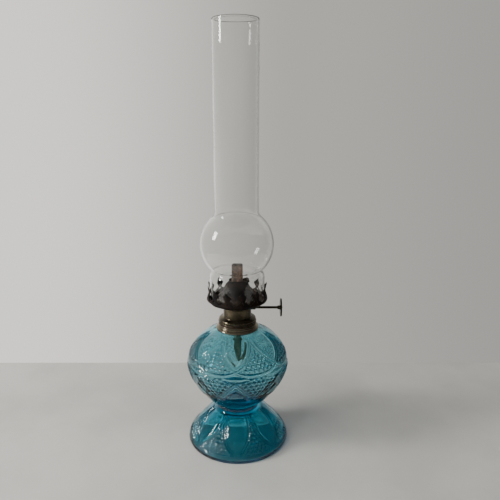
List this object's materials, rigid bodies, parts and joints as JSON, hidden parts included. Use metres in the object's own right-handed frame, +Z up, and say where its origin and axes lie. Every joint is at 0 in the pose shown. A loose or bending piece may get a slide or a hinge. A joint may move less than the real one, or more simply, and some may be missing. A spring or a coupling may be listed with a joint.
{
  "type": "oil lamp",
  "caption": "Table oil lamp: pressed blue glass font on a flared foot, screw-in flat wick burner with a pronged gallery, side thumbwheel and a tall glass chimney with a round bulb.",
  "frame": {"origin": "on the lamp's axis, in the plane that the foot's rim rests on", "axes": "+Z up along the lamp's axis, +X towards the thumbwheel, wick's width along X"},
  "size_m": [0.092, 0.092, 0.3652],
  "materials": {
    "blue_glass": "pressed, glossy",
    "clear_glass": "blown, clear",
    "aged_brass": "darkened, satin",
    "sooty_brass": "blackened, dull",
    "wick_cotton": "woven cotton, scorched at the top",
    "plaster": "set plaster, dull",
    "cork": "pressed cork, dull"
  },
  "bodies": {
    "font": {"glass_font_and_foot": "blue_glass", "collar": "aged_brass", "collar_cement": "plaster"},
    "washer": {"burner_washer": "cork"},
    "burner": {"burner_base": "aged_brass", "base_plate": "aged_brass", "wick_tube": "aged_brass", "vent_tube": "aged_brass", "spindle_bracket": "aged_brass", "spindle_guide": "aged_brass", "air_screen": "sooty_brass", "gallery": "sooty_brass", "cone": "sooty_brass"},
    "raiser": {"spindle": "sooty_brass", "spindle_stop": "aged_brass", "ratchet_wheel_left": "aged_brass", "ratchet_wheel_right": "aged_brass", "thumbwheel": "sooty_brass"},
    "wick": {"wick": "wick_cotton"},
    "chimney": {"chimney": "clear_glass"}
  },
  "joints": [
    {"name": "burner_lift", "type": "slide", "parent": "font", "child": "washer", "axis": [0, 0, 1], "range_m": [0, 0.06]},
    {"name": "burner_turn", "type": "hinge", "parent": "washer", "child": "burner", "pos_m": [0, 0, 0.115], "axis": [0, 0, 1], "continuous": true},
    {"name": "thumbwheel_turn", "type": "hinge", "parent": "burner", "child": "raiser", "pos_m": [0, -0.0056, 0.1296], "axis": [1, 0, 0], "range_deg": [-226, 82]},
    {"name": "wick_raise", "type": "slide", "parent": "burner", "child": "wick", "axis": [0, 0, 1], "range_m": [-0.0171, 0.0063]},
    {"name": "chimney_lift", "type": "slide", "parent": "burner", "child": "chimney", "axis": [0, 0, 1], "range_m": [0, 0.07]}
  ],
  "couplings": [
    {"joint": "wick_raise", "follows": "thumbwheel_turn", "m_per_rad": 0.0043}
  ]
}
